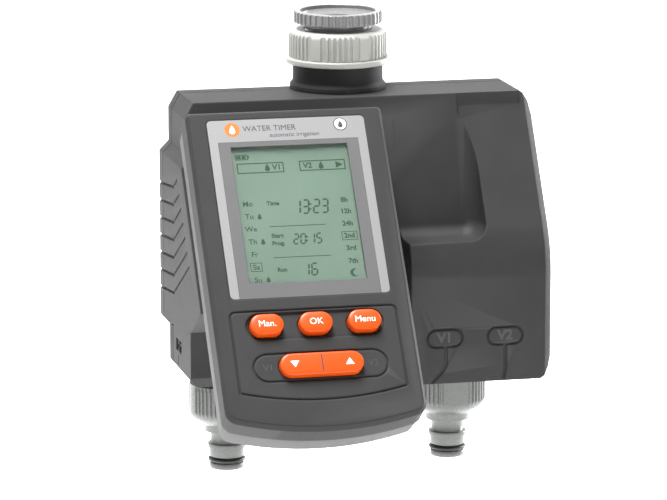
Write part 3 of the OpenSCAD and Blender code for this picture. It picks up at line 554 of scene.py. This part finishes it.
def make_outlets():
    """Nose with an O-ring seat and a catch collar, a waist, a cone and the ribbed skirt."""
    segments = 600
    skirt_r, thread_r, rib_rise = 16.9, 13.15, 0.68
    skirt = rows(skirt_r, 26.4, SKIRT_TOP - 0.3, 0.7)
    female = rows(thread_r, 27.0, SKIRT_TOP - 0.4, 0.36)
    tip = [(5.4, 0), (6.9, 0)] + arc(7.1, 0.75, 0.75, -80, 0, 4) + [(7.85, 2.45), (7.7, 2.7)]
    ring_seat = [(6.75, 2.7), (6.7, 2.8), (6.7, 5.6), (6.75, 5.7), (7.8, 5.7), (8.0, 5.95)]
    collar = ([(8.0, 9.65), (8.1, 9.75), (8.4, 9.75)]
              + arc(8.3, 10.1, 0.35, -80, 0, 3) + arc(8.3, 11.55, 0.35, 0, 90, 3))
    waist = [(7.5, 11.92), (7.3, 12.2), (7.3, 17.2), (7.5, 17.5), (9.7, 17.5)]
    shoulder = arc(9.75, 17.9, 0.4, -90, 0, 4) + [(10.15, 20.7), (10.3, 20.95), (11.4, 21.05)]
    cone = [(11.9, 21.3), (13.2, 22.3), (15.4, 23.95), (16.1, 24.7), (16.7, 25.6)]
    rim = [(16.7, SKIRT_TOP - 0.08), (16.4, SKIRT_TOP), (13.7, SKIRT_TOP)]
    bore = [(13.1, 26.8), (5.2, 26.8), (5.0, 26.6), (5.0, 0.4)]
    profile = tip + ring_seat + collar + waist + shoulder + cone + skirt + rim + list(reversed(female)) + bore
    table = []
    for step in range(segments):
        degrees = 360 * step / segments
        rib = max(min(1.0, max(0.0, (2.4 - abs((degrees - k * 90 - j * 7.2 - 23.4 + 180) % 360 - 180)) / 1.1))
                  for k in range(4) for j in range(7))
        table.append(rib * rib * (3 - 2 * rib))

    def shape(r, h, angle):
        if r == skirt_r:
            step = round(angle / (2 * math.pi) * segments) % segments
            return r + rib_rise * table[step] * fade(h, 26.6, 39.3, 1.0) ** 0.5
        if r == thread_r:
            return r + 0.6 * thread(h, angle, TAP_PITCH) * fade(h, 26.8, SKIRT_TOP - 0.3, 0.5)
        return r

    for number, x in ((1, -OUTLET_X), (2, OUTLET_X)):
        body, node = "outlet_%d" % number, "outlet_connector_%d" % number
        lathe(node + "_turned", profile, body, MATERIALS["connector_plastic"], (node,),
              (x, 0, 0), segments, shape, 40)
        ring = arc(7.6, 4.2, 0.9, 0, 345, 23)
        lathe("nose_oring_%d_round" % number, ring, body, MATERIALS["rubber_black"],
              ("nose_oring_%d" % number,), (x, 0, 0), 160)


# ---------------------------------------------------------------- keys
def loft(name, layers, body, material, replaces, matrix, steps=14):
    """Stack of pill outlines (width, height, z) from the foot to a domed top."""
    verts, faces = [], []
    for w, h, z in layers:
        verts += [(x, y, z) for x, y in pill_outline(w, h, steps)]
    count = len(verts) // len(layers)
    for level in range(len(layers) - 1):
        for i in range(count):
            k = (i + 1) % count
            a, b = level * count, (level + 1) * count
            faces.append((a + i, a + k, b + k, b + i))
    faces.append(tuple(reversed(range(count))))
    faces.append(tuple(range(len(verts) - count, len(verts))))
    return build(name, verts, faces, body, material, replaces, matrix, 50)


# Insets and heights of a cap's layers, from its foot to its dome
KEY_DOME = ((0, -4.0), (0, 2.2), (0.12, 2.55), (0.45, 2.82), (0.95, 3.0), (2.2, 3.13), (4.4, 3.22),
            (6.8, 3.27))
ROCKER_DOME = ((0, -4.0), (0, 2.2), (0.12, 2.6), (0.45, 2.95), (0.95, 3.2), (1.6, 3.35), (2.6, KEY_TOP))


def cap_layers(width, height, dome):
    return [(width - inset, height - inset, z) for inset, z in dome]


def make_keys():
    slot, material = "key_plastic", MATERIALS["key_plastic"]
    labels = (("key_manual", "Man."), ("key_ok", "OK"), ("key_menu", "Menu"))
    stem = [(5.201, 5.2, -7.3), (5.201, 5.2, -3.9)]
    for i, (node, words) in enumerate(labels):
        x = (i - 1) * KEY_PITCH
        loft(node + "_cap", cap_layers(14.6, 9.5, KEY_DOME), node, material, (node,),
             face_matrix(x, KEY_Y, 0))
        loft(node + "_stem", stem, node, material, (), face_matrix(x, KEY_Y, 0), 8)
        write(node + "_label", words, 4.1, node, WHITE_INK, face_matrix(x, KEY_Y, 3.2), 0.12)
    node = "key_rocker"
    loft(node + "_cap", cap_layers(36.7, 10.2, ROCKER_DOME), node, material, (node,),
         face_matrix(0, ROCKER_Y, 0))
    # The rocker's groove is not cut into the cap: a thin dark strip on the cap paints the groove's shade.
    groove = [(-0.28, -4.1), (0.28, -4.1), (0.28, 4.1), (-0.28, 4.1)]
    flat("key_rocker_groove_painted_shade", [groove], node, DARK_INK_AND_PAINTED_SHADE, face_matrix(0, ROCKER_Y, KEY_TOP - 0.03), 0.05)
    for way, side, x in (("down", -1, -12.0), ("up", 1, 12.0)):
        arrow = [(-1.9, -1.4 * side), (1.9, -1.4 * side), (0, 1.6 * side)]
        arrow = arrow if side > 0 else list(reversed(arrow))
        flat("rocker_arrow_" + way, [arrow], node, WHITE_INK,
             face_matrix(x, ROCKER_Y, KEY_TOP - 0.03), 0.08)


# ---------------------------------------------------------------- display
SEGMENTS = {
    "0": "abcdef", "1": "bc", "2": "abged", "3": "abgcd", "4": "fgbc", "5": "afgcd",
    "6": "afgedc", "7": "abc", "8": "abcdefg", "9": "abcdfg",
}


def digit(x, y, w, h, name, line=0.85, slant=0.12, space=0.12):
    """Seven-segment digit with its foot at (x, y)."""
    half = h / 2
    m = line / 2
    bars = {
        "a": (0, h, w, h), "g": (0, half, w, half), "d": (0, 0, w, 0),
        "f": (0, half, 0, h), "b": (w, half, w, h), "e": (0, 0, 0, half), "c": (w, 0, w, half),
    }
    outlines = []
    for key in SEGMENTS[name]:
        x0, y0, x1, y1 = bars[key]
        if y0 == y1:
            a, b = x0 + space, x1 - space
            shape = [(a, y0), (a + m, y0 - m), (b - m, y0 - m), (b, y0), (b - m, y0 + m), (a + m, y0 + m)]
        else:
            a, b = y0 + space, y1 - space
            shape = [(x0, a), (x0 + m, a + m), (x0 + m, b - m), (x0, b), (x0 - m, b - m), (x0 - m, a + m)]
        outlines.append([(x + px + slant * py, y + py) for px, py in shape])
    return outlines


def clock(x, y, w, h, step, words, line=0.85):
    outlines, at = [], x
    for character in words:
        if character == ":":
            for level in (0.3, 0.68):
                cx, cy = at - step * 0.12 + 0.12 * h * level, y + h * level
                s = line * 0.5
                outlines.append([(cx - s, cy - s), (cx + s, cy - s), (cx + s, cy + s), (cx - s, cy + s)])
            at += step * 0.28
        else:
            outlines += digit(at, y, w, h, character, line)
            at += step
    return outlines


def bar(x0, y, x1, thick):
    return [(x0, y - thick / 2), (x1, y - thick / 2), (x1, y + thick / 2), (x0, y + thick / 2)]


def lcd_place(x, y):
    return face_matrix(x + LCD_SHIFT[0], y + LCD_SHIFT[1], LCD_Z + 0.02)


def battery_sign():
    cell = frame_strips(-25.2, -19.5, -19.4, -16.9, 0.4)
    tip = [(-19.4, -18.8), (-18.8, -18.8), (-18.8, -17.6), (-19.4, -17.6)]
    return cell + [bar(-24.6, -18.2, -22.6, 1.4), bar(-22.2, -18.2, -20.4, 1.4), tip]


def valve_boxes():
    boxes = frame_strips(-24.9, -26.1, -4.0, -21.1, 0.5) + frame_strips(2.9, -25.9, 23.5, -20.9, 0.5)
    arrow = [(19.2, -25.0), (22.4, -23.4), (19.2, -21.8)]
    return boxes + [drop_outline(-11.4, -23.5, 3.6), drop_outline(12.6, -23.4, 3.6), arrow]


def moon_sign(x, y):
    return arc(x, y, 1.9, 60, 300, 12) + arc(x + 0.9, y, 1.5, 280, 80, 8)


def make_lcd():
    """Everything that the display shows, as thin raised signs on the panel."""
    body, slot = "control_unit", "lcd"
    marks = battery_sign() + valve_boxes()
    marks += [bar(-14.0, -51.9, 11.0, 0.35), bar(-14.3, -66.7, 11.0, 0.35)]
    marks += clock(-2.2, -46.2, 2.5, 6.3, 3.75, "13:23", 0.8)
    marks += clock(-4.4, -60.6, 2.0, 4.6, 3.1, "20:15", 0.7)
    marks += clock(-2.2, -75.6, 2.4, 5.4, 3.7, "16", 0.75)
    marks += [drop_outline(-17.9, y, 2.9) for y in (-46.8, -58.8, -76.9)]
    marks += frame_strips(-25.0, -72.9, -19.8, -68.7, 0.3)
    marks += frame_strips(17.2, -59.9, 24.2, -55.7, 0.3)
    marks.append(moon_sign(20.4, -75.4))
    flat("lcd_marks", marks, body, SEGMENT, face_matrix(*LCD_SHIFT, LCD_Z), INK)
    for i, day in enumerate(("Mo", "Tu", "We", "Th", "Fr", "Sa", "Su")):
        write("lcd_day_" + day, day, 3.4, body, SEGMENT, lcd_place(-22.4, -40.8 - 6.02 * i), bold=0.05)
    cycles = (("8h", -40.6), ("12h", -46.1), ("24h", -52.0), ("2nd", -57.8), ("3rd", -63.7), ("7th", -69.9))
    for words, y in cycles:
        write("lcd_cycle_" + words, words, 3.2, body, SEGMENT, lcd_place(20.6, y), bold=0.12)
    for words, y in (("Time", -40.9), ("Start", -56.4), ("Prog.", -60.0), ("Run", -72.6)):
        write("lcd_word_" + words.strip("."), words, 2.7, body, SEGMENT, lcd_place(-11.2, y), bold=0.11)
    for words, x, y in (("V1", -7.2, -23.6), ("V2", 6.6, -23.4)):
        write("lcd_valve_" + words, words, 3.6, body, SEGMENT, lcd_place(x, y), bold=0.1)


def disc(r, steps=36):
    turns = [2 * math.pi * i / steps for i in range(steps)]
    return [(r * math.cos(turn), r * math.sin(turn)) for turn in turns]


def make_plate_print():
    """Generic badge, title and symbol on the plate, as layers of ink, and the marks beside the rocker."""
    body, slot = "control_unit", "silver_plate"

    def layer(place, level=0):
        return face_matrix(*place, PLATE_TOP + level * INK)

    badge, icon = (-24.3, -4.7), (24.2, -3.9)
    flat("plate_badge", [disc(3.4)], body, ORANGE_INK, layer(badge), INK)
    flat("plate_badge_drop", [drop_outline(0, 0, 4.2)], body, WHITE_INK, layer(badge, 1), INK)
    flat("plate_icon", [disc(3.1)], body, DARK_INK_AND_PAINTED_SHADE, layer(icon), INK)
    flat("plate_icon_field", [disc(2.6)], body, WHITE_INK, layer(icon, 1), INK)
    flat("plate_icon_drop", [drop_outline(0, 0, 3.6)], body, DARK_INK_AND_PAINTED_SHADE, layer(icon, 2), INK)
    write("plate_title", "WATER TIMER", 3.7, body, DARK_INK_AND_PAINTED_SHADE, layer((-19.6, -4.6)), INK, "LEFT")
    write("plate_subtitle", "automatic irrigation", 2.8, body, DARK_INK_AND_PAINTED_SHADE, layer((-8.0, -8.0)), INK,
          "LEFT")
    for words, x in (("V1", -23.0), ("V2", 23.0)):
        write("panel_" + words, words, 4.2, body, DARK_INK_AND_PAINTED_SHADE,
              face_matrix(x, ROCKER_Y, 0.0), INK)


def make_block_marks():
    for x, words in MARKS:
        write("block_mark_" + words, words, 6.2, "housing", MOULDED_MARK,
              front_matrix(x, BLOCK_FRONT, MARK_H), 0.1, bold=0.25)


# ---------------------------------------------------------------- inside pieces
def helix(name, r, wire, low, high, turns, body, material, replaces, matrix, around=10, along=28):
    verts, faces = [], []
    steps = int(turns * along)
    for s in range(steps + 1):
        t = s / steps
        angle = 2 * math.pi * turns * t
        z = low + wire + (high - low - 2 * wire) * min(1.0, max(0.0, (t * turns - 1) / (turns - 2)))
        for a in range(around):
            b = 2 * math.pi * a / around
            radius = r + wire * math.cos(b)
            verts.append((radius * math.cos(angle), radius * math.sin(angle), z + wire * math.sin(b)))
    for s in range(steps):
        for a in range(around):
            b = (a + 1) % around
            faces.append((s * around + a, s * around + b, (s + 1) * around + b, (s + 1) * around + a))
    faces.append(tuple(range(around)))
    faces.append(tuple(reversed(range(steps * around, (steps + 1) * around))))
    build(name, verts, faces, body, material, replaces, matrix, 60)


def make_springs():
    for number, x in ((1, -OUTLET_X), (2, OUTLET_X)):
        node = "plunger_spring_%d" % number
        helix(node + "_coil", 1.9, 0.28, 14.3, 30.1, 9, "housing", MATERIALS["steel"], (node,),
              front_matrix(x, VALVE_Y, VALVE_H))


make_union_nut()
make_thread_adapter()
make_outlets()
make_keys()
make_lcd()
make_plate_print()
make_block_marks()
make_springs()

# ---------------------------------------------------------------- every other CAD node, finished
BUILT = {"union_nut", "thread_adapter", "key_manual", "key_ok", "key_menu", "key_rocker"}
BUILT |= {"%s_%d" % (node, number) for node in ("outlet_connector", "nose_oring", "plunger_spring")
          for number in (1, 2)}
# Width in mm and segments of each rounded edge
ROUNDING = {
    "housing_front_shell": (0.45, 3), "housing_back_shell": (0.8, 3), "neck_collar": (0.4, 3),
    "control_front_frame": (0.3, 3), "control_rear_case": (0.4, 3), "display_plate": (0.12, 2),
    "display_surround": (0.12, 2), "display_window": (0.1, 2), "battery_cover": (0.3, 2),
    "housing_seal": (0, 0), "control_seal": (0, 0), "display_module": (0.1, 2),
}
for node in NODES:
    if node not in BUILT:
        width, segments = ROUNDING.get(node, (0.2, 2))
        skin(node, width, segments)
